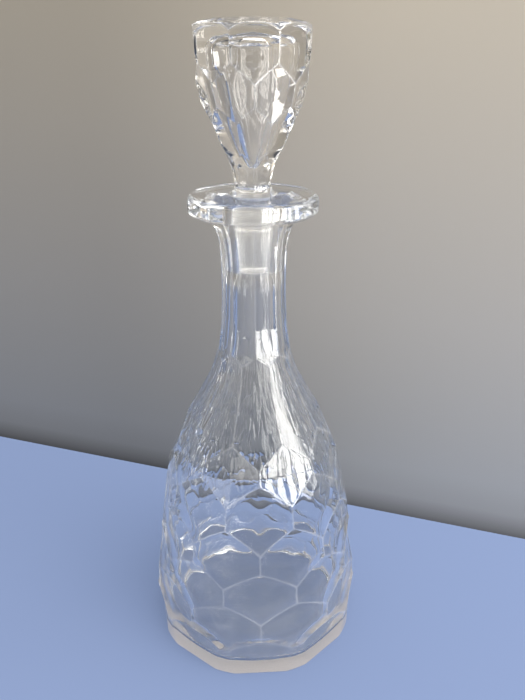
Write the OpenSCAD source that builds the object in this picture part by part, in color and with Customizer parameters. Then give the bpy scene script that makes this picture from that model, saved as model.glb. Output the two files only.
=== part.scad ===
// Honeycomb glass decanter: a nine-sided bottle and its eight-sided lift-out stopper.
// Millimetres, +Z up, origin at the centre of the bottle's underside, a neck ridge on -Y.

/* [Bottle profile] */
// Radius over the corners of the foot where it meets the table
foot_r = 58.0; // [54:0.5:60]
// Largest radius over the ridges, just above the foot
belly_r = 59.0; // [56.5:0.1:62]
// Radius half way up the honeycomb body
waist_r = 54.2; // [49:0.5:58]
// Radius at the turn of the shoulder
shoulder_r = 49.4; // [45:0.5:54]
// Radius at the root of the neck
root_r = 21.7; // [19:0.5:26]
// Radius of the straight neck over its ridges
neck_r = 16.3; // [15.5:0.1:19]
// Height of the bottle from the table to the top of the lip
bottle_h = 248.3; // [225:1:260]

/* [Lip] */
// Radius of the lip over its corners
lip_r = 32.4; // [28:0.5:38]
// Thickness of the lip
lip_t = 9.0; // [6:0.5:12]

/* [Honeycomb] */
// Number of cells round the bottle
cells = 9; // [8:1:10]
// Ridge radius over cell-centre radius on the body
relief = 1.043; // [1.02:0.001:1.05]
// Corner radius over flat radius of the nine-sided foot
foot_relief = 1.045; // [1.03:0.001:1.06]
// Ridge radius over flute-centre radius on the neck
flute_relief = 1.052; // [1.03:0.002:1.06]

/* [Inside of the bottle] */
// Thickness of the base at its centre
base_t = 4.8; // [4:0.2:8]
// Wall thickness of the body behind a cell's centre
wall_t = 4.2; // [3.5:0.1:6]
// Wall thickness of the neck behind a flute's centre
neck_wall_t = 5.1; // [4.8:0.1:5.6]

/* [Stopper] */
// Number of cells round the stopper's head
stopper_cells = 8; // [7:1:9]
// Radius of the head over its top corners
head_r = 27.0; // [23:0.2:30]
// Radius of the stem at its thinnest
stem_r = 8.5; // [8.2:0.1:8.8]
// Height of the head and stem above the lip
stopper_h = 74.1; // [66:0.5:82]
// Ridge radius over cell-centre radius on the head
head_relief = 1.05; // [1.02:0.005:1.06]
// Largest radius of the air bubble inside the head
bubble_r = 13.5; // [8:0.5:15]

/* [Ground joint] */
// Radius of the ground plug at its top
plug_r = 10.9; // [10.5:0.05:11.1]
// Length of the ground plug
plug_l = 34.5; // [28:0.5:38]
// Loss of radius from the plug's top to its foot
plug_taper = 2.0; // [1.5:0.05:2.3]
// Radial clearance between the plug and its socket
joint_gap = 0.05; // [0.03:0.01:0.08]

/* [Hidden] */
$fn = 96;

columns_per_cell = 8;
arch_power = 1.5; // shape of a cell's lower and upper ends
foot_bevel = 0.5;
lip_corner_cut = 1.3;
floor_rise = 0.6; // how much higher the inside floor is at its centre
floor_corner_r = 5.2;
mouth_flare = 0.45;
plug_bevel = 0.7;
plug_rise = 0.35; // top of the plug above the lip

// The ground surfaces run from joint_foot up to joint_top.
joint_top = bottle_h - 1.8;
joint_foot = joint_top - plug_l;

// The bottle's tables are drawn for drawn_bottle_h and stretched in height.
drawn_bottle_h = 248.3;
bottle_stretch = bottle_h / drawn_bottle_h;
drawn_lip_base = drawn_bottle_h - lip_t / bottle_stretch;

// The head's tables are drawn up to drawn_rim, measured from the lip, and stretched likewise.
drawn_rim = 69.5;
dome_h = 4.6;
rim_h = stopper_h - dome_h;
head_stretch = rim_h / drawn_rim;

// --- Stations ---

// Bottle over its ridges: [height, radius].
bottle_profile = [
    [0, foot_r], [9, belly_r], [24, belly_r - 0.3], [45, belly_r - 1.9],
    [65, waist_r], [82, waist_r - 2.8],
    [97, shoulder_r], [111, shoulder_r - 4.2], [122, shoulder_r - 8.9], [134, shoulder_r - 14.7],
    [146, root_r + 6.6], [160, root_r],
    [175, neck_r + 1.7], [190, neck_r + 0.3], [206, neck_r - 0.1], [218, neck_r + 0.1],
    [228, neck_r + 1.1], [234, neck_r + 3.2], [240, neck_r + 7.4]];

// Stopper over its ridges: [height above the lip, radius].
head_profile = [
    [-0.7, stem_r + 2.1], [0.7, stem_r + 1.2], [2.4, stem_r + 0.3], [4.2, stem_r],
    [8.3, stem_r + 0.7], [11.9, stem_r + 1.5],
    [15.4, head_r - 15.4], [19.1, head_r - 13.4], [23.7, head_r - 10.7], [29.5, head_r - 8.2],
    [35.3, head_r - 5.8], [41.1, head_r - 3.6], [47.1, head_r - 2.2], [53.1, head_r - 1.3],
    [62.1, head_r - 0.1], [drawn_rim, head_r]];

// Heights of the honeycomb's corners, from the lowest up.
bottle_corners = [16.5, 26, 36, 46, 56, 66.5, 77, 90, 102, 113.5, 120.5, 131, 166.5, 171];
head_corners = [11.7, 19.7, 31.5, 39, 48, 56];

// Lip edge: [height above the lip's base, change of radius].
lip_edge = [[0.25, -1.6], [1.4, 0], [lip_t - 1.2, 0], [lip_t, -1.3]];

// Top of the head: [share of the rim's radius, height above the rim, height of the scallops].
head_dome = [[1, 0.6, 1.2], [0.96, 1.7, 1.0], [0.80, 3.1, 0.5], [0.5, 4.2, 0.15], [0.02, dome_h, 0]];
rim_level = 69; // drawn height where the dome takes its outline

// Bubble above its pointed tip: [share of bubble_r, height above the lip].
bubble_profile = [
    [0.18, 17], [0.34, 22], [0.51, 28.5], [0.66, 35], [0.81, 42], [0.92, 49.5],
    [0.98, 56], [1, 61.5], [0.95, 64.2], [0.82, 66.2], [0.5, 67.5], [0, 67.9]];

// Rows of cells: [offset in cells, lower point, lower side corner, upper side corner, upper point].
// Each row starts two corners above the last and is offset by half a cell from it.
function cell_rows(heights, first_offset) = [for (i = [0:2:len(heights) - 4])
    [i % 4 == 0 ? first_offset : 0.5 - first_offset,
     heights[i], heights[i + 1], heights[i + 2], heights[i + 3]]];

// The added end heights leave the lowest and highest rows open-ended.
bottle_rows = cell_rows(concat([-8, -2], bottle_corners, [400, 410]), 0);
head_rows = cell_rows(concat([-200, -190], head_corners, [400, 410]), 0.5);

function with_midpoints(list) = [for (i = [0:len(list) - 1])
    each i == len(list) - 1 ? [list[i]] : [list[i], (list[i] + list[i + 1]) / 2]];

// Drawn heights of the rings of points.
bottle_levels = concat([0, 0.5, 5, 11], with_midpoints(bottle_corners),
    [178, 190, 206, 218, 226, 231, 235, drawn_lip_base]);
head_levels = concat([-0.7, 0.7, 2.4, 4.2, 8], with_midpoints(head_corners), [60, 64.5]);

// --- Smooth monotone curve through a list of stations ---

function slope(stations, i) =
    (stations[i + 1][1] - stations[i][1]) / (stations[i + 1][0] - stations[i][0]);

// Slope at a station: harmonic mean of its neighbours, or level at a turning point.
function tangent(stations, i) =
    i == 0 ? slope(stations, 0)
    : i == len(stations) - 1 ? slope(stations, i - 1)
    : let (below = slope(stations, i - 1), above = slope(stations, i))
        below * above <= 0 ? 0 : 2 * below * above / (below + above);

function segment(stations, z, i = 0) =
    i >= len(stations) - 2 || z <= stations[i + 1][0] ? i : segment(stations, z, i + 1);

function curve(stations, z) =
    let (i = segment(stations, z),
         start = stations[i],
         end = stations[i + 1],
         span = end[0] - start[0],
         t = (z - start[0]) / span)
    start[1] * (1 + 2 * t) * pow(1 - t, 2)
    + tangent(stations, i) * span * t * pow(1 - t, 2)
    + end[1] * t * t * (3 - 2 * t)
    + tangent(stations, i + 1) * span * t * t * (t - 1);

// --- Cells ---

// Degrees from an angle to the nearest cell's centre.
function from_centre(angle, pitch, offset = 0) =
    let (x = angle / pitch - offset) abs(x - round(x)) * pitch;

// How deep a cell is cut at a height: 0 at its points, 1 between its side corners.
function depth(z, row) =
    z < row[2] ? 1 - pow(1 - (z - row[1]) / (row[2] - row[1]), 1 / arch_power)
    : z > row[3] ? pow(1 - (z - row[3]) / (row[4] - row[3]), 1 / arch_power)
    : 1;

// Share of the ridge height at an angle from a cell's centre.
function rise(angle, half_pitch) = (1 / cos(angle) - 1) / (1 / cos(half_pitch) - 1);

// Radius of the cut surface, the least over the rows that reach the height.
function cut(z, angle, stations, rows, count, ratio) =
    let (ridge_r = curve(stations, z), pitch = 360 / count)
    min([ridge_r, for (row = rows) if (z >= row[1] && z <= row[4])
        ridge_r * (1 - (1 - 1 / ratio) * depth(z, row))
        * (1 + (ratio - 1) * rise(from_centre(angle, pitch, row[0]), pitch / 2))]);

// --- Rings and skins ---

function ring_angles(count) = let (columns = count * columns_per_cell)
    [for (i = [0:columns - 1]) i * 360 / columns];

// Point at an angle measured from -Y towards +X.
function spot(radius, angle, z) = [radius * sin(angle), -radius * cos(angle), z];

// Closed skin over a list of equal rings, bottom to top.
module skin(rings) {
    columns = len(rings[0]);
    last = len(rings) - 1;
    polyhedron(
        points = [for (ring = rings) each ring],
        faces = concat(
            [[for (i = [0:columns - 1]) i]],
            [for (j = [0:last - 1], i = [0:columns - 1])
                let (a = j * columns + i, b = j * columns + (i + 1) % columns)
                each [[a, a + columns, b], [b, a + columns, b + columns]]],
            [[for (i = [columns - 1:-1:0]) last * columns + i]]));
}

// --- Bottle ---

// Ridge radius over cell-centre radius at a drawn height.
function relief_at(z) =
    lookup(z, [[14, foot_relief], [30, relief], [120, relief], [175, flute_relief]]);

function bottle_at(z, angle) =
    cut(z, angle, bottle_profile, bottle_rows, cells, relief_at(z)) - (z == 0 ? foot_bevel : 0);

// One flat side per cell, with the corners between them taken off.
function lip_at(angle) = let (pitch = 360 / cells)
    min(lip_r * cos(pitch / 2) / cos(from_centre(angle, pitch, 0.5)), lip_r - lip_corner_cut);

module outer_glass() skin(concat(
    [for (z = bottle_levels) [for (angle = ring_angles(cells))
        spot(bottle_at(z, angle), angle, z * bottle_stretch)]],
    [for (edge = lip_edge) [for (angle = ring_angles(cells))
        spot(lip_at(angle) + edge[1], angle, bottle_h - lip_t + edge[0])]]));

function inside_r(z) =
    curve(bottle_profile, z) / relief_at(z) - lookup(z, [[100, wall_t], [170, neck_wall_t]]);

// Radius of the ground socket at a height above the table.
function socket_r(z) = plug_r + joint_gap - plug_taper * (joint_top - z) / plug_l;

// Rounded floor, walls that follow the outside, neck passage and ground socket.
module wine_space() {
    floor_r = inside_r(floor_corner_r + base_t) - floor_corner_r;
    wall_levels = [base_t + floor_corner_r, 20, 28, 36, 50, 65, 80, 95,
        105, 115, 125, 135, 145, 155, 165, 175, 190];
    mouth_r = socket_r(bottle_h) + mouth_flare;
    rotate_extrude() polygon(concat(
        [[0, base_t + floor_rise], [floor_r, base_t]],
        [for (t = [15:15:75])
            [floor_r + floor_corner_r * sin(t), base_t + floor_corner_r * (1 - cos(t))]],
        [for (z = wall_levels) [inside_r(z), z * bottle_stretch]],
        [[inside_r(200), joint_foot - 7],
         [socket_r(joint_foot) + 0.6, joint_foot - 3],
         [socket_r(joint_foot), joint_foot - 1],
         [socket_r(joint_top), joint_top],
         [mouth_r, bottle_h],
         [mouth_r, bottle_h + 1],
         [0, bottle_h + 1]]));
}

module decanter_body() {
    color([0.80, 0.86, 0.92, 0.45]) difference() {
        outer_glass();
        wine_space();
    }
}

// --- Stopper ---

function head_at(z, angle) =
    cut(z, angle, head_profile, head_rows, stopper_cells, head_relief);

// Scallop of the top edge: 1 over a cell's centre, -1 over the ridges.
function scallop(angle) = let (pitch = 360 / stopper_cells)
    1 - 2 * pow(from_centre(angle, pitch) / (pitch / 2), 2);

// Stem and head, closed by a scalloped edge and a low dome.
module head_glass() skin(concat(
    [for (z = head_levels) [for (angle = ring_angles(stopper_cells))
        spot(head_at(z, angle), angle, bottle_h + z * head_stretch)]],
    [for (ring = head_dome) [for (angle = ring_angles(stopper_cells))
        spot(ring[0] * head_at(rim_level, angle), angle,
            bottle_h + rim_h + ring[1] + ring[2] * scallop(angle))]]));

// Ground plug and its shoulder.
module plug() {
    plug_foot_r = plug_r - plug_taper;
    rotate_extrude() polygon([
        [0, joint_foot], [plug_foot_r - plug_bevel, joint_foot],
        [plug_foot_r, joint_foot + plug_bevel], [plug_r, joint_top],
        [plug_r - 0.3, bottle_h + plug_rise], [0, bottle_h + plug_rise]]);
}

// Air bubble inside the head, blunt above and pointed below.
module bubble() translate([0, 0, bottle_h]) rotate_extrude() polygon(concat(
    [[0, 13], [0.8, 14]],
    [for (station = bubble_profile) [bubble_r * station[0], station[1]]]));

module stopper() {
    color([0.90, 0.90, 0.88, 0.45]) difference() {
        union() {
            head_glass();
            plug();
        }
        bubble();
    }
}

decanter_body();
stopper();
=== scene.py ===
"""A cut-glass decanter with its stopper.

The bottle stands on z = 0 with its axis on Z, and the stopper sits in its neck.
The front faces -Y, with +X to the right. Shapes are worked out in mm and stored in metres.
Azimuths are in degrees: 0 is the front, and they grow towards +X.
"""

import bpy
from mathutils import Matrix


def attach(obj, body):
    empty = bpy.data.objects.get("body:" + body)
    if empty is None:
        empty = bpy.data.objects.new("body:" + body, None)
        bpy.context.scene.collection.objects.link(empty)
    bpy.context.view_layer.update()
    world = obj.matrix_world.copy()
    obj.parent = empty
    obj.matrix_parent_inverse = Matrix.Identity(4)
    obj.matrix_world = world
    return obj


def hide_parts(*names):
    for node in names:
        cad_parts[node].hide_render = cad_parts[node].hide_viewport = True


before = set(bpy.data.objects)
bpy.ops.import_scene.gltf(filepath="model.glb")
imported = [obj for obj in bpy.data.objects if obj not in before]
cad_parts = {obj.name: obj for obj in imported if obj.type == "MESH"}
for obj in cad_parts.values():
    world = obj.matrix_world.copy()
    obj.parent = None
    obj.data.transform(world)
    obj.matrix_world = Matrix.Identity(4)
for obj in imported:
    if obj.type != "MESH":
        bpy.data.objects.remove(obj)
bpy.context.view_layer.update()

import bpy
import math
import numpy as np
from mathutils import Matrix, Vector

MM = 0.001
scene = bpy.context.scene


# ------------------------------------------------------------------ curves
def hermite(t, start, end, start_slope, end_slope):
    return (start * (1 + 2 * t) * (1 - t) ** 2 + start_slope * t * (1 - t) ** 2
            + end * t * t * (3 - 2 * t) + end_slope * t * t * (t - 1))


def monotone(stations):
    """Smooth curve through (x, y) stations that never overshoots them. Takes numbers or arrays."""
    x, y = np.array(stations, float).T
    step = np.diff(x)
    chord = np.diff(y) / step
    slope = np.zeros(len(x))
    slope[0], slope[-1] = chord[0], chord[-1]
    for i in range(1, len(x) - 1):
        if chord[i - 1] * chord[i] > 0:
            slope[i] = 2 * chord[i - 1] * chord[i] / (chord[i - 1] + chord[i])

    def curve(at):
        at = np.clip(np.asarray(at, float), x[0], x[-1])
        i = np.clip(np.searchsorted(x, at) - 1, 0, len(x) - 2)
        t = (at - x[i]) / step[i]
        return hermite(t, y[i], y[i + 1], slope[i] * step[i], slope[i + 1] * step[i])
    return curve


def bisect(low, high, is_below):
    """Value between low and high at which is_below turns false, for each azimuth."""
    for _ in range(40):
        middle = (low + high) / 2
        below = is_below(middle)
        low, high = np.where(below, middle, low), np.where(below, high, middle)
    return (low + high) / 2


def soft_min(candidates, softness):
    """Smallest candidate, with the corner between two candidates rounded off."""
    low = candidates.min(0)
    return low - softness * np.log(np.exp(-(candidates - low) / softness).sum(0))


# ------------------------------------------------------------------ cut cells
def staggered_rows(zigzags, first_turn):
    """Rows of cells between zigzag borders, each row turned half a pitch from the last.

    A zigzag is (lowest, highest) height. A row is (centre line as a share of the pitch,
    lower point, lower side corner, upper side corner, upper point).
    """
    return [(first_turn if i % 2 == 0 else 0.5 - first_turn, *below, *above)
            for i, (below, above) in enumerate(zip(zigzags, zigzags[1:]))]


class Cells:
    """A round form cut into staggered rows of cells.

    crest(z, row) is the radius at the ridges, relief(z, row) the ratio of crest to deepest cut.
    """
    BELLY = 0.22                        # extra depth halfway up a cell
    FOOT_SLOPE, LIP_SLOPE = 1.05, 1.8   # steepness of the cut at its lower and upper point

    def __init__(self, count, rows, crest, relief, softness):
        self.half = 180.0 / count       # half the pitch
        self.rows, self.crest, self.relief, self.softness = rows, crest, relief, softness

    def depth_share(self, z, row):
        """Cut depth along a cell: 0 at its points, 1 at its side corners, more between."""
        _, foot, low, high, peak = row
        z = np.asarray(z, float)
        middle = high - low
        bulge = 0.0 if low < 0 else self.BELLY * 4      # the lowest row is straight
        # slopes per mm where the three pieces meet
        rise = min(bulge / middle, 0.9 / (low - foot))
        fall = -min(bulge / middle, 0.5 / (peak - high))
        t_low, t_mid, t_top = (z - foot) / (low - foot), (z - low) / middle, (z - high) / (peak - high)
        bottom = (hermite(np.clip(t_low, 0, 1), 0, 1, self.FOOT_SLOPE, rise * (low - foot))
                  + np.minimum(t_low, 0) * self.FOOT_SLOPE)
        centre = hermite(np.clip(t_mid, 0, 1), 1, 1, rise * middle, fall * middle)
        top = (hermite(np.clip(t_top, 0, 1), 1, 0, fall * (peak - high), -self.LIP_SLOPE)
               - np.maximum(t_top - 1, 0) * self.LIP_SLOPE)
        return np.where(z < low, bottom, np.where(z > high, top, centre))

    def cut_radius(self, i, offset, z):
        """Radius of row i's own cut, at an angle from the cell's centre line."""
        relief = self.relief(z, i)
        rise = ((1 / np.cos(np.radians(offset)) - 1)
                / (1 / math.cos(math.radians(self.half)) - 1))
        return (self.crest(z, i) * (1 - (1 - 1 / relief) * self.depth_share(z, self.rows[i]))
                * (1 + (relief - 1) * rise))

    def offset(self, i, az):
        """Angle from the nearest centre line of row i."""
        pitch = 2 * self.half
        turns = az / pitch - self.rows[i][0]
        return np.abs(turns - np.round(turns)) * pitch

    def border(self, i, az):
        """Height at which row i meets row i + 1."""
        offset = self.offset(i, az)
        return bisect(self.rows[i][3] - 4, self.rows[i][4] + 4,
                      lambda z: self.cut_radius(i, offset, z)
                      < self.cut_radius(i + 1, self.half - offset, z))

    def spans(self, az, bottom, top):
        """(low, high) height of every row."""
        borders = [self.border(i, az) for i in range(len(self.rows) - 1)]
        return list(zip([bottom] + borders, borders + [top]))

    def cuts(self, az, z, limit=None):
        az, z = np.broadcast_arrays(np.asarray(az, float), np.asarray(z, float))
        candidates = [] if limit is None else [np.broadcast_to(limit, z.shape)]
        for i in range(len(self.rows)):
            offset = self.offset(i, az)
            candidates += [self.cut_radius(i, offset, z),
                           self.cut_radius(i, 2 * self.half - offset, z)]
        return np.stack(candidates)

    def radius(self, az, z, limit=None):
        """Surface radius with softly rounded ridges. limit: one more radius to stay within."""
        return soft_min(self.cuts(az, z, limit), self.softness)

    def ridge(self, az, z, width=0.13):
        """1 on a ridge between two cuts, falling to 0 beside it."""
        candidates = np.sort(self.cuts(az, z), 0)
        return np.exp(-(candidates[1] - candidates[0]) / width)


# ------------------------------------------------------------------ rings and meshes
def columns(count):
    """Azimuths round a form with count-fold symmetry, dense beside each ridge."""
    half = 180.0 / count
    side = [0, 0.012, 0.028, 0.052, 0.085, 0.13, 0.185, 0.245, 0.31, 0.375, 0.44, 0.5]
    side = np.array(side + [1 - s for s in side[-2::-1]]) * half
    azimuths = []
    for k in range(count):
        start = k * 2 * half
        azimuths += [start + s for s in side[:-1]]
        azimuths += [start + 2 * half - s for s in side[:0:-1]]
    return np.array(azimuths)


def between(low, high, count):
    """Heights from low to high, both left out, with three close steps at each end."""
    close = (0.3, 0.8, 1.6)
    scale = np.minimum(1, (high - low) / 8.0)
    start, end = low + close[-1] * scale, high - close[-1] * scale
    return ([low + step * scale for step in close]
            + [start + (end - start) * k / count for k in range(1, count)]
            + [high - step * scale for step in close[::-1]])


def ring(radius, az, z):
    angle = np.radians(az)
    radius, z = np.broadcast_to(radius, angle.shape), np.broadcast_to(z, angle.shape)
    return np.stack([radius * np.sin(angle), -radius * np.cos(angle), z], -1)


def tip(z):
    """A ring of one point, which closes a form on the axis."""
    return np.array([[0, 0, z]])


def zeros(rings):
    return np.zeros(sum(len(r) for r in rings))


def skin(rings):
    """Vertices and faces over a list of rings. Going up, the normals point out."""
    count = max(len(r) for r in rings)
    faces, start = [], 0
    for lower, upper in zip(rings[:-1], rings[1:]):
        a, b = start, start + len(lower)
        for i in range(count):
            j = (i + 1) % count
            if len(lower) == 1:
                faces.append((a, b + j, b + i))
            elif len(upper) == 1:
                faces.append((a + i, a + j, b))
            else:
                faces.append((a + i, a + j, b + j, b + i))
        start = b
    return np.concatenate(rings), faces


def make_object(name, shells):
    """One object from closed shells of (vertices in mm, faces, ridge weight, inside weight)."""
    verts, faces, ridge, inside = zip(*shells)
    all_faces, base = [], 0
    for shell_verts, shell_faces in zip(verts, faces):
        all_faces += [tuple(i + base for i in face) for face in shell_faces]
        base += len(shell_verts)
    mesh = bpy.data.meshes.new(name)
    mesh.from_pydata((np.concatenate(verts) * MM).tolist(), [], all_faces)
    mesh.validate()
    mesh.polygons.foreach_set("use_smooth", np.ones(len(mesh.polygons), bool))
    for label, weights in (("ridge", ridge), ("inside", inside)):
        attribute = mesh.attributes.new(label, "FLOAT", "POINT")
        attribute.data.foreach_set("value", np.concatenate(weights).astype(np.float32))
    mesh.update()
    obj = bpy.data.objects.new(name, mesh)
    scene.collection.objects.link(obj)
    return obj


# ------------------------------------------------------------------ ground joint
BOTTLE_H = 248.3
JOINT_TOP = BOTTLE_H - 1.8
PLUG_R, PLUG_L = 10.9, 34.5     # radius at the joint's top, and length
PLUG_FOOT = JOINT_TOP - PLUG_L
TAPER = 2.0                     # loss of radius over the plug's length
GAP = 0.05                      # between plug and socket


def plug_r(z):
    return PLUG_R - TAPER * (JOINT_TOP - z) / PLUG_L


def socket_r(z):
    return plug_r(z) + GAP


# ------------------------------------------------------------------ bottle
LIP_T, LIP_R = 9.0, 32.3
LIP_FOOT = BOTTLE_H - LIP_T
REST_R = 38.5                   # inner edge of the flat resting ring
FOOT_TOP, CELLS_FOOT = 0.6, 1.2
FOOT_SHARE = 0.998              # foot radius as a share of the outline
BASE_T, BASE_ROUND = 4.8, 5.2   # floor thickness, and rounding of the inside's lower corner
BASE_RISE = 0.6                 # how far the inside floor rises to its middle

# (height, radius) of the outline over the ridges
outside = monotone([
    (0, 57.6), (9, 58.1), (24, 58.4), (45, 56.7), (65, 54.3), (82, 51.7), (97, 49.7),
    (111, 45.5), (122, 40.8), (134, 34.9), (146, 28.3), (160, 21.6), (175, 17.9), (190, 16.5),
    (206, 16.1), (218, 16.3), (228, 17.3), (234, 19.4), (240, 23.6)])
# (lowest, highest) height of each zigzag border; the first and last lie beyond the form
body_rows = staggered_rows([
    (-30, -20), (16.5, 26), (36, 46), (56, 66.5), (77, 90), (102, 113.5), (120.5, 131),
    (166.5, 171), (400, 420)], first_turn=0.0)
# ring steps along a row, where not the usual number
ROW_STEPS = 12
BODY_STEPS = {0: 8, 6: 20, 7: 26}


def body_crest(z, i):
    return 59.4 if i == 0 else outside(z)


def body_relief(z, i):
    return 1.0642 if i == 0 else np.interp(z, [120, 175], [1.045, 1.056])


body = Cells(9, body_rows, body_crest, body_relief, softness=0.075)
soft_body = Cells(9, body_rows, body_crest, body_relief, softness=0.6)
bottle_az = columns(9)


def inside_r(z):
    wall = np.interp(z, [100, 170], [4.2, 5.1])
    return outside(z) / np.interp(z, [120, 175], [1.043, 1.052]) - wall


def wobble(z, amount):
    """Slow unevenness of a surface shaped by hand, in mm."""
    a = np.radians(bottle_az)
    return amount * (np.sin(2 * a + 0.6 + z / 31.0) + 0.7 * np.sin(3 * a - 1.1 - z / 17.0)
                     + 0.45 * np.sin(5 * a + z / 11.0 + 2.0))


def follow(z):
    """Faint, rounded echo of the cells on the inside, and slight scales under the shoulder."""
    cells = soft_body.radius(bottle_az, z) / outside(z) - 0.968
    scales = (np.cos(18 * np.radians(bottle_az)) * math.cos(2 * math.pi * (z - 98) / 16.0)
              * np.interp(z, [62, 84, 150, 168], [0.0, 0.17, 0.15, 0.0]))
    strength = np.interp(z, [10, 22, 130, 160], [0.0, 0.34, 0.34, 0.0])
    return cells * inside_r(z) * strength + scales


def underside_rings():
    """A shallow hollow inside the flat resting ring, then the rounded edge of the foot."""
    hollow = [(5, 1.28), (11, 1.18), (18, 0.96), (25, 0.62), (31, 0.28), (35, 0.1),
              (37.2, 0.02), (REST_R, 0.0)]                              # (radius, height)
    edge = [(0.55, 0.0), (0.3, 0.05), (0.12, 0.18), (0.03, 0.38), (0.0, FOOT_TOP)]  # (inset, height)
    foot = body.radius(bottle_az, FOOT_TOP, outside(FOOT_TOP) * FOOT_SHARE)
    flat = foot - edge[0][0] - REST_R
    return ([tip(1.3)]
            + [ring(radius, bottle_az, z) for radius, z in hollow]
            + [ring(REST_R + flat * t, bottle_az, 0.0) for t in (0.2, 0.4, 0.6, 0.8, 0.93)]
            + [ring(foot - inset, bottle_az, z) for inset, z in edge])


def body_rings():
    rings = []
    spans = body.spans(bottle_az, CELLS_FOOT, LIP_FOOT)
    for i, (low, high) in enumerate(spans):
        count = BODY_STEPS.get(i, ROW_STEPS)
        if i == 0:
            heights = [low + (high - 1.6 - low) * k / count for k in range(1, count)]
            heights += [high - 1.6, high - 0.8, high - 0.3]
        elif i == len(spans) - 1:
            heights = [low + 0.3, low + 0.8, low + 1.6]
            heights += [low + 1.6 + (high - low - 1.6) * k / count for k in range(1, count + 1)]
        else:
            heights = between(low, high, count)
        for z in [low] + heights:
            limit = outside(z) * np.where(z < 22, FOOT_SHARE, 1.02) if i < 2 else None
            rings.append(ring(body.radius(bottle_az, z, limit), bottle_az, z))
    return rings


def lip_rings():
    """Nine flat sides with softened corners, and the flat top as far as the mouth."""
    offset = body.offset(7, bottle_az)
    flats = np.stack([1 / np.cos(np.radians(offset)),
                      1 / np.cos(np.radians(2 * body.half - offset))])
    lip = soft_min(flats, 0.06) * math.cos(math.radians(body.half))
    neck = body.radius(bottle_az, LIP_FOOT)
    reach = lip * (LIP_R - 1.4) - neck
    # (share of the way out from the neck, height from the lip's foot)
    under = [(0.12, -0.17), (0.3, -0.03), (0.6, 0.05), (0.85, 0.11), (1.0, 0.17)]
    # (growth of radius, height from the lip's foot)
    side = [(-0.75, 0.35), (-0.28, 0.8), (-0.05, 1.4), (0, 2.4), (-0.02, 4.0), (-0.08, 5.6),
            (-0.14, 6.8), (-0.3, 7.5), (-0.62, 8.15), (-1.15, 8.62), (-1.8, 8.86), (-2.6, 8.96),
            (-4.0, 9.0)]
    mouth = mouth_r()
    flat_top = lip * LIP_R - 4.0 - mouth
    return ([ring(neck + reach * s, bottle_az, LIP_FOOT + z) for s, z in under]
            + [ring(lip * LIP_R + grow, bottle_az, LIP_FOOT + z) for grow, z in side]
            + [ring(mouth + 0.5 + flat_top * s, bottle_az, BOTTLE_H)
               for s in (0.75, 0.5, 0.25, 0.1)])


def mouth_r():
    return socket_r(BOTTLE_H) + 0.45


def socket_rings():
    """Mouth edge and ground socket, going down."""
    rings = [ring(mouth_r() + grow, bottle_az, BOTTLE_H + z)
             for grow, z in ((0.45, 0.0), (0.16, -0.06), (0.0, -0.3))]
    rings.append(ring(socket_r(JOINT_TOP) + 0.12, bottle_az, BOTTLE_H - 1.4))
    for k in range(19):
        z = JOINT_TOP - (PLUG_L - 1.0) * k / 18
        rings.append(ring(socket_r(z), bottle_az, z))
    return rings + [ring(socket_r(PLUG_FOOT) + grow, bottle_az, PLUG_FOOT + z)
                    for grow, z in ((0.12, -1.6), (0.4, -2.4), (0.62, -3.2))]


def cavity_rings():
    """The inside from below the socket down to the middle of its floor."""
    rings = []
    start_z, top_z = PLUG_FOOT - 3.2, PLUG_FOOT - 7
    start_r = socket_r(PLUG_FOOT) + 0.62
    for t in (0.35, 0.7, 1.0):
        radius = start_r + (inside_r(top_z) - start_r) * t + wobble(top_z, 0.02) * t
        rings.append(ring(radius, bottle_az, start_z + (top_z - start_z) * t))
    corner_z = BASE_T + BASE_ROUND
    for start, end, count in ((top_z, 170, 14), (170, 120, 46), (120, corner_z, 92)):
        for z in np.linspace(start, end, count)[1:]:
            uneven = wobble(z, np.interp(z, [100, 190], [0.14, 0.03]))
            rings.append(ring(inside_r(z) + uneven + follow(z), bottle_az, z))
    floor_r = inside_r(corner_z) - BASE_ROUND
    for t in np.linspace(0, 90, 15)[1:]:
        angle = math.radians(t)
        z = BASE_T + BASE_ROUND * (1 - math.sin(angle))
        radius = floor_r + BASE_ROUND * math.cos(angle) + wobble(z, 0.14 * (1 - t / 110))
        rings.append(ring(radius, bottle_az, z))
    for s in (0.92, 0.8, 0.65, 0.48, 0.3, 0.14):
        rings.append(ring(floor_r * s, bottle_az, BASE_T + BASE_RISE * (1 - s)))
    return rings + [tip(BASE_T + BASE_RISE)]


def bottle_shell():
    foot, cells, lip = underside_rings(), body_rings(), lip_rings()
    inner = socket_rings() + cavity_rings()
    # the ridge weights carry the painted highlight along the ridges, faded out near the foot
    ridge = [body.ridge(bottle_az, r[:, 2]) * np.clip((r[:, 2] - 12.0) / 4.0, 0, 1)
             for r in cells]
    ridge = np.concatenate([zeros(foot), *ridge, zeros(lip), zeros(inner)])
    inside = np.concatenate([zeros(foot + cells + lip), zeros(inner) + 1])
    return skin(foot + cells + lip + inner) + (ridge, inside)


bottle = make_object("bottle_glass_shell", [bottle_shell()])
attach(bottle, "bottle")
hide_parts("decanter_body")

# ------------------------------------------------------------------ stopper
# Heights of the head and its bubble are measured from the bottle's top.
HEAD_R, STEM_R = 26.8, 8.5
HEAD_H = 74.1
# (height, radius) over the ridges of stem and head
head = monotone([
    (-0.7, STEM_R + 2.1), (0.7, STEM_R + 1.2), (2.4, STEM_R + 0.3), (4.2, STEM_R),
    (8.3, STEM_R + 0.7), (11.9, STEM_R + 1.5), (15.4, HEAD_R - 15.4), (19.1, HEAD_R - 13.4),
    (23.7, HEAD_R - 10.7), (29.5, HEAD_R - 8.2), (35.3, HEAD_R - 5.8), (41.1, HEAD_R - 3.6),
    (47.1, HEAD_R - 2.2), (53.1, HEAD_R - 1.3), (62.1, HEAD_R - 0.1), (69.5, HEAD_R),
    (75.0, HEAD_R)])
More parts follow.
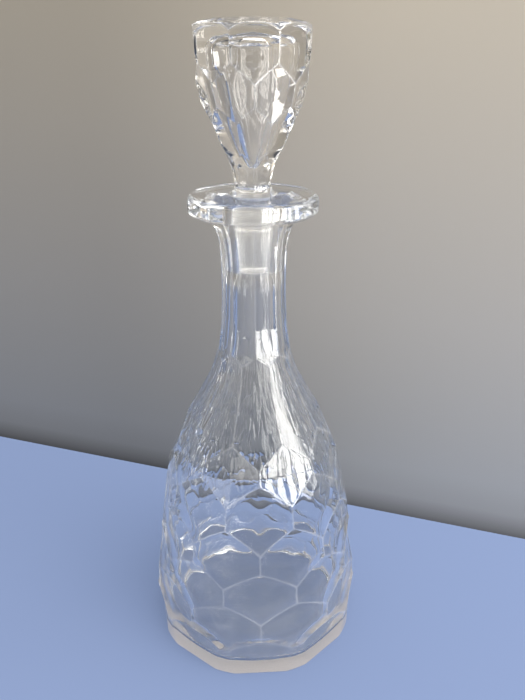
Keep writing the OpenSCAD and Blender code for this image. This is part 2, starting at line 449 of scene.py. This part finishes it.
# (radius, height) of the dome on top
dome_z = monotone([
    (0, HEAD_H), (8, 73.97), (14, 73.62), (17, 73.3), (21, 72.55), (23.5, 71.85), (25.0, 71.15),
    (25.6, 70.6), (26.2, 69.4), (26.8, 68.0), (27.6, 65.8)])
# (lowest, highest) height of each zigzag border; the first and last lie beyond the form
knob_rows = staggered_rows([(-220, -200), (11.7, 19.7), (31.5, 39), (48, 56), (400, 420)],
                           first_turn=0.5)
KNOB_STEPS = {0: 9, 3: 16}


def knob_crest(z, i):
    return head(z)


def knob_relief(z, i):
    return 1.055


knob = Cells(8, knob_rows, knob_crest, knob_relief, softness=0.05)
soft_knob = Cells(8, knob_rows, knob_crest, knob_relief, softness=0.4)
knob_az = columns(8)


def plug_rings():
    """The tapered plug, going up, and its flare into the stem."""
    foot_r = PLUG_R - TAPER
    rings = [tip(PLUG_FOOT)]
    rings += [ring(foot_r * s, knob_az, PLUG_FOOT) for s in (0.25, 0.5, 0.75, 0.9)]
    rings += [ring(foot_r + grow, knob_az, PLUG_FOOT + z)
              for grow, z in ((-0.55, 0.03), (-0.2, 0.2), (-0.03, 0.6))]
    for k in range(1, 20):
        z = PLUG_FOOT + 0.9 + (PLUG_L - 0.9) * k / 19
        rings.append(ring(plug_r(z), knob_az, z))
    flare = knob.radius(knob_az, CELLS_FOOT) - PLUG_R
    return rings + [ring(PLUG_R + flare * t, knob_az, BOTTLE_H + z) for t, z in
                    ((0.03, -1.4), (0.1, -0.9), (0.25, -0.35), (0.48, 0.2), (0.75, 0.7))]


def knob_rings(brim):
    rings = []
    for i, (low, high) in enumerate(knob.spans(knob_az, CELLS_FOOT, brim)):
        for z in [low] + between(low, high, KNOB_STEPS.get(i, ROW_STEPS)):
            rings.append(ring(knob.radius(knob_az, z), knob_az, BOTTLE_H + z))
    return rings


def dome_rings(brim_r):
    rings = []
    for inset in (0.35, 0.9, 1.8, 3.0, 4.6):
        radius = brim_r - inset
        rings.append(ring(radius, knob_az, BOTTLE_H + dome_z(radius)))
    for s in (0.88, 0.75, 0.6, 0.45, 0.3, 0.16, 0.06):
        rings.append(ring(radius * s, knob_az, BOTTLE_H + dome_z(radius * s)))
    return rings + [tip(BOTTLE_H + HEAD_H)]


def stopper_shell():
    brim = bisect(60.0, 74.0, lambda z: dome_z(knob.radius(knob_az, z)) > z)
    brim_r = knob.radius(knob_az, brim)
    plug, cells, dome = plug_rings(), knob_rings(brim), dome_rings(brim_r)
    # the crease between cells and dome is eased towards the rings on either side
    crease = 0.5 * ring(brim_r, knob_az, BOTTLE_H + brim) + 0.25 * (cells[-1] + dome[0])
    ridge = [knob.ridge(knob_az, r[:, 2] - BOTTLE_H) for r in cells]
    # the last ring of cells, the crease and the dome's edge get more ridge weight, so more painted
    # highlight
    ridge[-1] += 0.3
    ridge += [np.ones(len(crease)), zeros(dome[:1]) + 0.3]
    ridge = np.concatenate([zeros(plug), *ridge, zeros(dome[1:])])
    rings = plug + cells + [crease] + dome
    return skin(rings) + (np.clip(ridge, 0, 1), zeros(rings))


BUBBLE_R = 13.5
BUBBLE_FOOT, BUBBLE_SIDE_TOP = 13.0, 61.5
BUBBLE_ROUND = 5.2              # rounding of its upper edge
# (height, radius) of the bubble's side
bubble_r = monotone([
    (BUBBLE_FOOT, 0.0), (14, 0.9), (17, BUBBLE_R * 0.18), (22, BUBBLE_R * 0.34),
    (28.5, BUBBLE_R * 0.51), (35, BUBBLE_R * 0.66), (42, BUBBLE_R * 0.81),
    (49.5, BUBBLE_R * 0.92), (56, BUBBLE_R * 0.98), (BUBBLE_SIDE_TOP, BUBBLE_R)])


def bubble_echo(z):
    """How far the bubble follows the cells outside, as a share of its radius."""
    return 0.7 * (soft_knob.radius(knob_az, z) / head(z) - 0.965)


def bubble_shell():
    """The void inside the head; its faces look inward."""
    rings = [tip(BOTTLE_H + BUBBLE_FOOT)]
    for z in np.concatenate([[13.12, 13.4, 14.0], np.linspace(15, BUBBLE_SIDE_TOP, 56)]):
        radius = bubble_r(z) * (1 + bubble_echo(z) * min(1, (z - BUBBLE_FOOT) / 9))
        rings.append(ring(radius, knob_az, BOTTLE_H + z))
    top_echo = bubble_echo(BUBBLE_SIDE_TOP)
    top_z = BOTTLE_H + BUBBLE_SIDE_TOP
    for t in np.linspace(0, 90, 12)[1:-1]:
        angle = math.radians(t)
        radius = BUBBLE_R - BUBBLE_ROUND + BUBBLE_ROUND * math.cos(angle)
        rings.append(ring(radius * (1 + top_echo * (1 - t / 90)), knob_az,
                          top_z + BUBBLE_ROUND * math.sin(angle)))
    for radius, z in ((8.0, 5.27), (6.0, 5.6), (3.5, 5.95), (1.2, 6.2)):
        rings.append(ring(radius, knob_az, top_z + z))
    rings.append(tip(BOTTLE_H + 67.75))
    verts, faces = skin(rings)
    return verts, [face[::-1] for face in faces], zeros(rings), zeros(rings)


stopper = make_object("stopper_glass_shell", [stopper_shell(), bubble_shell()])
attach(stopper, "stopper")
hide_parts("stopper")


# ------------------------------------------------------------------ shader trees
class Tree:
    """Node tree of a material, light or world. A node given as a value is its first output."""

    def __init__(self, owner, output="OutputMaterial"):
        owner.use_nodes = True
        self.owner, self.tree = owner, owner.node_tree
        self.tree.nodes.clear()
        self.output = self.add(output)

    def feed(self, socket, value):
        """Link an input to a node or socket, or set it to a plain value."""
        if isinstance(value, bpy.types.Node):
            value = value.outputs[0]
        if isinstance(value, bpy.types.NodeSocket):
            self.tree.links.new(value, socket)
        else:
            socket.default_value = value

    def add(self, kind, *inputs, **named):
        """New node; inputs go in by position, named values are settings or named inputs."""
        node = self.tree.nodes.new("ShaderNode" + kind)
        for key, value in named.items():
            if hasattr(node, key):
                setattr(node, key, value)
            else:
                self.feed(node.inputs[key.replace("_", " ")], value)
        for i, value in enumerate(inputs):
            self.feed(node.inputs[i], value)
        return node

    def math(self, operation, *inputs, clamp=False):
        return self.add("Math", *inputs, operation=operation, use_clamp=clamp)

    def times(self, a, b):
        return self.math("MULTIPLY", a, b)

    def ramp(self, source, *stops):
        """Colour ramp of (position, colour) stops; a single number is a grey."""
        node = self.add("ValToRGB", source)
        elements = node.color_ramp.elements
        while len(elements) < len(stops):
            elements.new(0.5)
        for element, (position, color) in zip(elements, stops):
            element.position = position
            element.color = (*color, 1) if isinstance(color, tuple) else (color, color, color, 1)
        return node

    def axes(self, coords):
        return self.add("SeparateXYZ", coords).outputs

    def finish(self, surface, volume=None):
        self.feed(self.output.inputs["Surface"], surface)
        if volume:
            self.feed(self.output.inputs["Volume"], volume)
        return self.owner


def material_tree(name):
    return Tree(bpy.data.materials.new(name))


# ------------------------------------------------------------------ glass
class Glass(Tree):
    def __init__(self, name):
        super().__init__(bpy.data.materials.new(name))
        self.coords = self.add("TexCoord").outputs["Object"]
        self.x, self.y, self.z = self.axes(self.coords)
        self.radius = self.math("SQRT", self.math("ADD", self.times(self.x, self.x),
                                                  self.times(self.y, self.y)))
        self.inside = self.attribute("inside")

    def attribute(self, name):
        return self.add("Attribute", attribute_name=name).outputs["Fac"]

    def noise(self, scale, detail, vector=None, **named):
        node = self.add("TexNoise", Vector=vector or self.coords, Scale=scale, Detail=detail,
                        **named)
        return node.outputs["Fac"]

    def height_ramp(self, *stops):
        """Grey ramp over height as a share of 250 mm, about the bottle's height."""
        return self.ramp(self.math("DIVIDE", self.z, 0.25, clamp=True), *stops)

    def bump(self, height, strength, distance, normal=None):
        node = self.add("Bump", Strength=strength, Distance=distance, Height=height)
        if normal:
            self.feed(node.inputs["Normal"], normal)
        return node

    def ground_joint(self):
        """Mask of the socket and the plug."""
        along = self.times(self.math("GREATER_THAN", self.z, (PLUG_FOOT - 0.5) * MM),
                           self.math("LESS_THAN", self.z, (BOTTLE_H - 1.5) * MM))
        return self.times(along, self.math("LESS_THAN", self.radius, 12.5 * MM))

    def painted_base_glow_and_scuff(self):
        """Mask of the resting ring, only for light that skims along it: real scuffs, and a painted
        glow of the light that the base carries inside it.
        """
        geometry = self.add("NewGeometry").outputs
        facing = self.add("VectorMath", geometry["Incoming"], geometry["Normal"],
                          operation="DOT_PRODUCT").outputs["Value"]
        skim = self.math("LESS_THAN", self.math("ABSOLUTE", facing), 0.70)
        rest = self.times(self.math("LESS_THAN", self.z, 0.0004),
                          self.math("GREATER_THAN", self.radius, 0.030))
        # varies the painted glow on the resting ring along with its scuffs
        glow_and_scuff_noise = self.noise(scale=900.0, detail=3.0, Roughness=0.7)
        return self.times(self.times(rest, skim), self.ramp(glow_and_scuff_noise, (0.35, 0.8), (0.65, 1)))

    def painted_ridge_highlight_and_wear(self):
        # painted highlight: pale lines along the ridges stand for the light that rounded ridges catch,
        # and for rubbing wear
        ridge_highlight_noise = self.noise(scale=120.0, detail=2.0, Roughness=0.6)
        return self.times(self.attribute("ridge"), self.ramp(ridge_highlight_noise, (0.3, 0.45), (0.65, 1)))

    def film(self):
        """Thin dry film that an emptied decanter keeps on the inside, thickest low down."""
        cloud = self.noise(scale=38.0, detail=5.0, Roughness=0.62, Distortion=0.6)
        fall = self.add("MapRange", Value=self.z, From_Min=0.004, From_Max=0.075,
                        To_Min=1.0, To_Max=0.0)
        cloudy = self.ramp(cloud, (0.35, 0.25), (0.7, 1))
        return self.times(self.inside, self.times(fall, cloudy))

    def drawn_streaks(self, normal):
        """Streaks that run up the shoulder and the neck."""
        wide = self.math("MAXIMUM", self.radius, 0.002)
        along = self.add("CombineXYZ", self.math("DIVIDE", self.x, wide),
                         self.math("DIVIDE", self.y, wide), self.times(self.z, 4.0))
        drawn = self.noise(scale=18.0, detail=1.2, vector=along, Roughness=0.42)
        depth = self.math("ADD", self.times(self.inside, 0.60), 0.40)
        zone = self.height_ramp((0.0, 0), (0.44, 0), (0.49, 0.9), (0.63, 0.9), (0.70, 0.2),
                                (0.93, 0.2), (0.97, 0))
        return self.bump(drawn, self.times(depth, zone), 0.00022, normal)

    def shoulder_scales(self, normal):
        """Small scale-like facets on the inside of the shoulder."""
        scales_round, scale_height = 36, 0.026
        about = self.times(self.math("ARCTAN2", self.y, self.x), scales_round / 2)
        climb = self.times(self.z, math.pi / scale_height)
        waves = [self.math("ABSOLUTE", self.math("SINE", self.math(operation, about, climb)))
                 for operation in ("ADD", "SUBTRACT")]
        zone = self.height_ramp((0.0, 0), (0.40, 0), (0.47, 0.8), (0.60, 0.8), (0.68, 0))
        return self.bump(self.times(*waves), self.times(self.inside, zone), 0.00026, normal)

    def relief(self, ground):
        """Slow ripple, fine orange peel, streaks, scales, and the tooth of the ground joint."""
        ripple = self.noise(scale=55.0, detail=1.5, Roughness=0.4)
        peel = self.noise(scale=260.0, detail=2.0, Roughness=0.5)
        tooth = self.noise(scale=2600.0, detail=2.0, Roughness=0.6)
        normal = self.bump(ripple, strength=0.35, distance=0.00022)
        normal = self.bump(peel, strength=0.25, distance=0.00003, normal=normal)
        normal = self.shoulder_scales(self.drawn_streaks(normal))
        return self.bump(tooth, self.times(ground, 0.5), 0.00002, normal)


def glass(name, tints, ior, ridge_highlight_and_wear_amount):
    """Clear glass. tints: the two colours of its faint streaks; ridge_highlight_and_wear_amount: chalk
    on ridges, a painted highlight along them that also stands for wear.
    """
    mat = Glass(name)
    ground, matt = mat.ground_joint(), mat.painted_base_glow_and_scuff()
    ridge_highlight_and_wear, film = mat.painted_ridge_highlight_and_wear(), mat.film()
    streak = mat.noise(scale=14.0, detail=2.0)
    clear_glass = mat.add(
        "BsdfGlass", distribution="MULTI_GGX", IOR=ior,
        Color=mat.ramp(streak, (0.3, tints[0]), (0.7, tints[1])),
        Roughness=mat.math("ADD", mat.times(ground, 0.17), mat.times(matt, 0.35), clamp=True),
        Normal=mat.relief(ground))
    # chalk: the share of pale matt surface that wear, grinding and film add, with painted light: a
    # painted highlight along the ridges and a painted pinkish glow on the resting ring
    pale_matt_and_painted_light_color = mat.add("MixRGB", matt, (0.95, 0.94, 0.92, 1), (0.72, 0.665, 0.66, 1))
    pale_matt_and_painted_light = mat.add("BsdfDiffuse", Color=pale_matt_and_painted_light_color)
    share = mat.math("ADD",
                     mat.math("ADD", mat.times(matt, 0.75), mat.times(ground, 0.045)),
                     mat.math("ADD", mat.times(ridge_highlight_and_wear, ridge_highlight_and_wear_amount), mat.times(film, 0.08)),
                     clamp=True)
    glass_wear_and_painted_light = mat.add("MixShader", share, clear_glass, pale_matt_and_painted_light)
    # shadow rays pass straight through
    is_shadow = mat.add("LightPath").outputs["Is Shadow Ray"]
    through = mat.add("BsdfTransparent", Color=(0.93, 0.935, 0.94, 1))
    volume = mat.add("VolumeAbsorption", Density=1.2, Color=(0.90, 0.93, 0.95, 1))
    return mat.finish(mat.add("MixShader", is_shadow, glass_wear_and_painted_light, through), volume)


bottle.data.materials.append(glass(
    "bottle_flint_glass", tints=((0.985, 0.99, 0.995), (0.995, 0.995, 0.99)),
    ior=1.53, ridge_highlight_and_wear_amount=0.23))
stopper.data.materials.append(glass(
    "stopper_flint_glass", tints=((0.995, 0.99, 0.98), (0.985, 0.985, 0.985)),
    ior=1.55, ridge_highlight_and_wear_amount=0.22))


def cad_finish(name):
    """Plain clear finish for a CAD node that a finer piece stands for."""
    mat = material_tree(name)
    color = mat.ramp(mat.add("TexNoise", Scale=40.0).outputs["Fac"],
                     (0.3, (0.95, 0.97, 0.98)), (0.7, 1))
    return mat.finish(mat.add("BsdfPrincipled", Base_Color=color, Roughness=0.05, IOR=1.53,
                              Transmission_Weight=1.0))


for name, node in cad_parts.items():
    node.data.materials.clear()
    node.data.materials.append(cad_finish(name + "_clear"))


# ------------------------------------------------------------------ stage
STAGE_TURN = math.radians(-2.5)     # wall and camera are turned together about Z


def stage_object(name, verts, faces, material):
    mesh = bpy.data.meshes.new(name)
    mesh.from_pydata(verts, [], faces)
    mesh.materials.append(material)
    obj = bpy.data.objects.new(name, mesh)
    scene.collection.objects.link(obj)
    return obj


def floor_paint():
    color = (0.185, 0.243, 0.405)
    mat = material_tree("floor_paint")
    cloud = mat.add("TexNoise", Scale=3.0, Detail=2.0).outputs["Fac"]
    mottled = mat.ramp(cloud, (0.35, tuple(c * 0.985 for c in color)), (0.65, color))
    return mat.finish(mat.add("BsdfPrincipled", Base_Color=mottled, Roughness=0.75,
                              Specular_IOR_Level=0.0))


def add_floor():
    half, z = 6, -0.0002
    verts = [(-half, -half, z), (half, -half, z), (half, half, z), (-half, half, z)]
    stage_object("floor", verts, [(0, 1, 2, 3)], floor_paint())


def wall_paint_with_painted_light(normal_x, normal_y):
    """Grey that grows lighter and warmer going up, and lighter towards the right: painted light, with
    a painted shadow at the wall's foot.
    """
    mat = material_tree("wall_paint_with_painted_light")
    x, y, z = mat.axes(mat.add("TexCoord").outputs["Object"])
    height = mat.add("MapRange", Value=z, From_Max=0.34)
    # painted light: the wall grows lighter towards the right
    sideways = mat.math("SUBTRACT", mat.times(x, normal_y), mat.times(y, normal_x))
    along = mat.add("MapRange", interpolation_type="SMOOTHSTEP", Value=sideways,
                    From_Min=-0.16, From_Max=0.06, To_Min=1.0, To_Max=1.5)
    # the lowest stops are a painted contact shadow where the wall meets the floor; above them painted
    # light grows lighter and warmer going up
    grey = mat.ramp(height, (0.0, 0.09), (0.012, 0.13), (0.05, (0.22, 0.223, 0.226)),
                    (0.12, (0.258, 0.262, 0.266)), (0.45, (0.32, 0.305, 0.282)),
                    (1.0, (0.40, 0.352, 0.275)))
    paint = mat.add("BsdfPrincipled", Roughness=0.8, Specular_IOR_Level=0.0,
                    Base_Color=mat.add("MixRGB", 1.0, grey, along, blend_type="MULTIPLY"))
    # the faces' normals point away from the bottle, so the painted side is their back
    backfacing = mat.add("NewGeometry").outputs["Backfacing"]
    return mat.finish(mat.add("MixShader", backfacing, mat.add("BsdfTransparent"), paint))


def add_back_wall():
    """A wall close behind, only there for rays that meet the side facing the bottle."""
    distance, half_width = 0.1087, 4.0
    cos, sin = math.cos(STAGE_TURN), math.sin(STAGE_TURN)
    normal_x, normal_y = 0.327 * cos - 0.945 * sin, 0.327 * sin + 0.945 * cos
    verts = [(normal_x * distance + normal_y * s, normal_y * distance - normal_x * s, z)
             for z in (-0.0001, 0.05, 2.2) for s in (-half_width, half_width)]
    wall = stage_object("back_wall", verts, [(0, 2, 3, 1), (2, 4, 5, 3)],
                        wall_paint_with_painted_light(normal_x, normal_y))
    wall.data.polygons.foreach_set("use_smooth", np.ones(2, bool))
    wall.data.update()
    wall.visible_diffuse = wall.visible_shadow = False


add_floor()
add_back_wall()


# ------------------------------------------------------------------ lights
def light_object(light, direction, location=(0, 0, 0)):
    """Light aimed along a direction and never seen by the camera."""
    obj = bpy.data.objects.new(light.name, light)
    scene.collection.objects.link(obj)
    obj.location = location
    obj.rotation_mode = "QUATERNION"
    obj.rotation_quaternion = direction.to_track_quat("-Z", "Y")
    obj.visible_camera = False
    return obj


def area(name, location, target, size, power, color, kind="mirror"):
    """Rectangular light.

    kind: both, soft (lights matt surfaces only) or mirror (seen only in the glass, and dimmer
    straight through it than in a reflection).
    """
    light = bpy.data.lights.new(name, "AREA")
    light.shape = "RECTANGLE"
    light.size, light.size_y = size
    light.energy = power
    light.color = color
    obj = light_object(light, Vector(target) - Vector(location), location)
    if kind == "soft":
        obj.visible_glossy = obj.visible_transmission = False
    if kind == "mirror":
        obj.visible_diffuse = False
        tree = Tree(light, "OutputLight")
        depth = tree.add("LightPath").outputs["Glossy Depth"]
        dim = tree.add("MapRange", Value=depth, To_Min=0.08)
        tree.finish(tree.add("Emission", Strength=dim))


def key_window():
    """A window-like key: panes of light with dark bars between them."""
    centre, target = Vector((0.295, -0.405, 0.315)), Vector((0.0, -0.025, 0.315))
    across, upward = 7, 4
    pane = (0.030, 0.12)
    bar = (0.015, 0.009)
    look = (target - centre).normalized()
    side = look.cross(Vector((0, 0, 1))).normalized()
    rise = side.cross(look).normalized()
    for i in range(across):
        for j in range(upward):
            u = (i - (across - 1) / 2) * (pane[0] + bar[0])
            v = (j - (upward - 1) / 2) * (pane[1] + bar[1])
            at = centre + side * u + rise * v
            area(f"key_window_{i}_{j}", at, at + look, pane, power=0.18, color=(1.0, 0.975, 0.93))


def broad_light():
    """A wide even light from the upper right for the matt surfaces."""
    light = bpy.data.lights.new("broad_light", "SUN")
    light.energy = 2.6
    light.angle = math.radians(70)
    light.color = (1.0, 0.985, 0.955)
    obj = light_object(light, Vector((-0.55, 0.45, -0.75)))
    obj.visible_glossy = obj.visible_transmission = False


key_window()
area("low_pane", location=(0.345, -0.235, 0.052), target=(0, 0, 0.052), size=(0.075, 0.085),
     power=0.30, color=(1.0, 0.975, 0.93))
area("side_right", location=(0.62, -0.24, 0.36), target=(0, 0, 0.22), size=(0.16, 0.7),
     power=4.0, color=(1.0, 0.98, 0.94))
area("top_back", location=(0.10, 0.03, 0.90), target=(0.10, 0.03, 0.0), size=(0.6, 0.13),
     power=2.4, color=(1.0, 0.93, 0.82))
area("top_soft", location=(0.25, -0.35, 1.5), target=(0, 0.05, 0.1), size=(0.9, 0.7),
     power=6.0, color=(1.0, 0.99, 0.97), kind="both")
area("side_left", location=(-0.60, -0.06, 0.13), target=(0, 0, 0.10), size=(0.05, 0.22),
     power=0.40, color=(1.0, 0.98, 0.95))
area("soft_key", location=(0.95, -0.75, 1.1), target=(0, 0, 0.15), size=(0.8, 0.8),
     power=16.0, color=(1.0, 0.98, 0.94), kind="soft")
broad_light()


def studio_world():
    """Even grey to the camera and as fill; light and dark panels of a room in the glass."""
    view_grey = (0.42, 0.42, 0.42, 1)
    fill_grey = (0.50, 0.49, 0.475, 1)
    panels_round, panels_high = 20, 14
    scene.world = bpy.data.worlds.new("studio")
    sky = Tree(scene.world, "OutputWorld")
    x, y, z = sky.axes(sky.add("TexCoord").outputs["Generated"])
    turn = sky.math("FLOOR", sky.times(sky.math("ARCTAN2", y, x), panels_round / (2 * math.pi)))
    tilt = sky.math("FLOOR", sky.times(sky.math("ARCSINE", z), panels_high / math.pi))
    cell = sky.add("TexWhiteNoise", noise_dimensions="3D",
                   Vector=sky.add("CombineXYZ", turn, tilt))
    panel = sky.ramp(cell.outputs["Value"], (0.0, (0.012, 0.016, 0.025)),
                     (0.5, (0.055, 0.06, 0.075)), (0.75, (0.42, 0.41, 0.39)),
                     (1.0, (3.3, 3.15, 2.95)))
    path = sky.add("LightPath").outputs
    filled = sky.add("MixRGB", path["Is Diffuse Ray"], panel, fill_grey)
    # straight through the glass, the panels are mostly replaced by the plain grey
    straight = sky.times(sky.math("LESS_THAN", path["Glossy Depth"], 0.5),
                         path["Is Transmission Ray"])
    through = sky.add("MixRGB", sky.times(straight, 0.65), filled, view_grey)
    seen = sky.add("MixRGB", path["Is Camera Ray"], through, view_grey)
    sky.finish(sky.add("Background", Color=seen))


studio_world()


# ------------------------------------------------------------------ camera and render
def add_camera():
    """Camera in front of the bottle, looking down at it."""
    pitch, roll, yaw = math.radians(24.06), math.radians(-0.09), math.radians(0.80)
    distance, height = 0.31325, 0.30755
    data = bpy.data.cameras.new("camera")
    camera = bpy.data.objects.new("camera", data)
    scene.collection.objects.link(camera)
    data.sensor_width = 36.0
    data.sensor_fit = "AUTO"
    data.lens = 34.030286
    data.clip_start, data.clip_end = 0.01, 20
    forward = Vector((math.sin(yaw) * math.cos(pitch), math.cos(yaw) * math.cos(pitch),
                      -math.sin(pitch)))
    level = Vector((math.cos(yaw), -math.sin(yaw), 0))
    upright = level.cross(forward)
    right = math.cos(roll) * level + math.sin(roll) * upright
    up = -math.sin(roll) * level + math.cos(roll) * upright
    camera.matrix_world = Matrix.Rotation(STAGE_TURN, 4, "Z") @ Matrix((
        (right.x, up.x, -forward.x, 0),
        (right.y, up.y, -forward.y, -distance),
        (right.z, up.z, -forward.z, height),
        (0, 0, 0, 1)))
    scene.camera = camera


add_camera()

scene.view_settings.view_transform = "Standard"
scene.view_settings.look = "None"
cycles = scene.cycles
cycles.max_bounces = 40
cycles.transmission_bounces = 40
cycles.glossy_bounces = 24
cycles.transparent_max_bounces = 24
cycles.diffuse_bounces = 3
cycles.caustics_refractive = False
cycles.caustics_reflective = False
cycles.use_denoising = True
cycles.sample_clamp_indirect = 8.0
